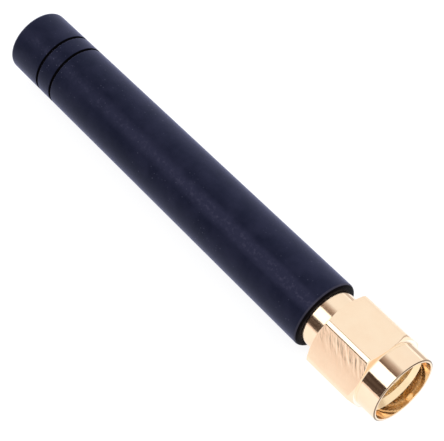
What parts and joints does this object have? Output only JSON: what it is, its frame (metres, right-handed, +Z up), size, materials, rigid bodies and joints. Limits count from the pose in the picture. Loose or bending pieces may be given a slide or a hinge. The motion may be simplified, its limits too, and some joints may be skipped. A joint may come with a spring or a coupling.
{
  "type": "wifi antenna",
  "caption": "Straight stub antenna: a black rubber sleeve over a wound radiator, on a gold threaded coaxial plug with a free-turning hexagonal coupling nut.",
  "frame": {"origin": "on the axis, in the plug's mating plane, where the outer conductor's end face meets its mate", "axes": "+X along the axis out of the plug's mouth, -X towards the closed tip of the sleeve, +Z up, with one flat of the hexagon facing down"},
  "size_m": [0.055, 0.009, 0.008],
  "materials": {
    "sleeve_rubber": "satin moulded elastomer",
    "gold_nut": "polished pale gold plate on turned brass",
    "spring_bronze": "bright spring bronze",
    "gold_body": "polished pale gold plate on turned brass",
    "white_fluoroplastic": "turned white fluoroplastic",
    "gold_contact": "polished gold plate",
    "solder": "bright tin solder",
    "coppered_wire": "drawn coppered spring wire"
  },
  "bodies": {
    "antenna": {"antenna_sleeve": "sleeve_rubber", "connector_body": "gold_body", "insulator": "white_fluoroplastic", "centre_contact": "gold_contact", "retaining_ring": "spring_bronze", "solder_joint": "solder", "helix_radiator": "coppered_wire"},
    "nut": {"coupling_nut": "gold_nut"}
  },
  "joints": [
    {"name": "nut_spin", "type": "hinge", "parent": "antenna", "child": "nut", "pos_m": [0, 0, 0], "axis": [1, 0, 0], "continuous": true}
  ]
}
